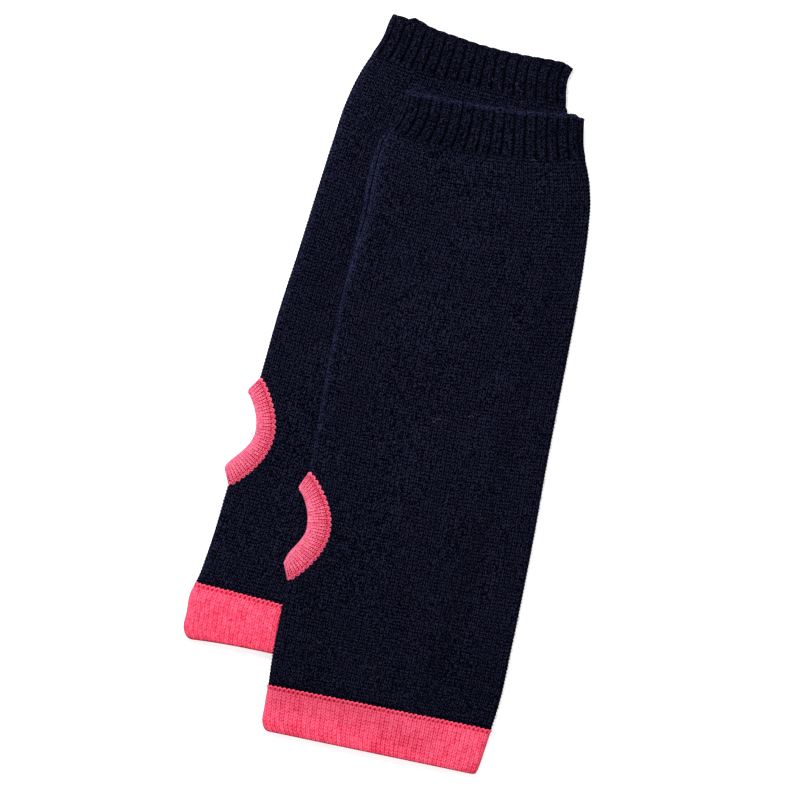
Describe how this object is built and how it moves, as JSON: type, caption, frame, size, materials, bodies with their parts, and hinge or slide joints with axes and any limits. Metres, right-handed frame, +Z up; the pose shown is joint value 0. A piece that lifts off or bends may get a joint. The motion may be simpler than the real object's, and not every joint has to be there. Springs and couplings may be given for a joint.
{
  "type": "pair of wrist warmers",
  "caption": "Knitted wrist warmers laid flat, one over the other: tubes with a ribbed cuff, a banded thumb hole in the side fold and a turned hem in a second colour.",
  "frame": {"origin": "on the surface the pair lies on, at the middle of the pair as seen from above", "axes": "+Y runs along the pair towards the ribbed cuffs, +X to the right seen from above, +Z up from the surface"},
  "size_m": [0.1656, 0.3105, 0.0108],
  "materials": {
    "body_knit": "fine plain knit in navy wool, matt with a light nap",
    "cuff_rib": "two by one rib in navy wool, matt with a light nap",
    "hem_knit": "fine plain knit in bright pink wool, turned and linked down",
    "thumb_rib": "fine knitted band in bright pink wool, linked round the thumb hole"
  },
  "bodies": {
    "root": {"lower_body": "body_knit", "lower_rib_cuff": "cuff_rib", "lower_hem_band": "hem_knit", "lower_thumb_band": "thumb_rib", "upper_body": "body_knit", "upper_rib_cuff": "cuff_rib", "upper_hem_band": "hem_knit", "upper_thumb_band": "thumb_rib"}
  },
  "joints": []
}
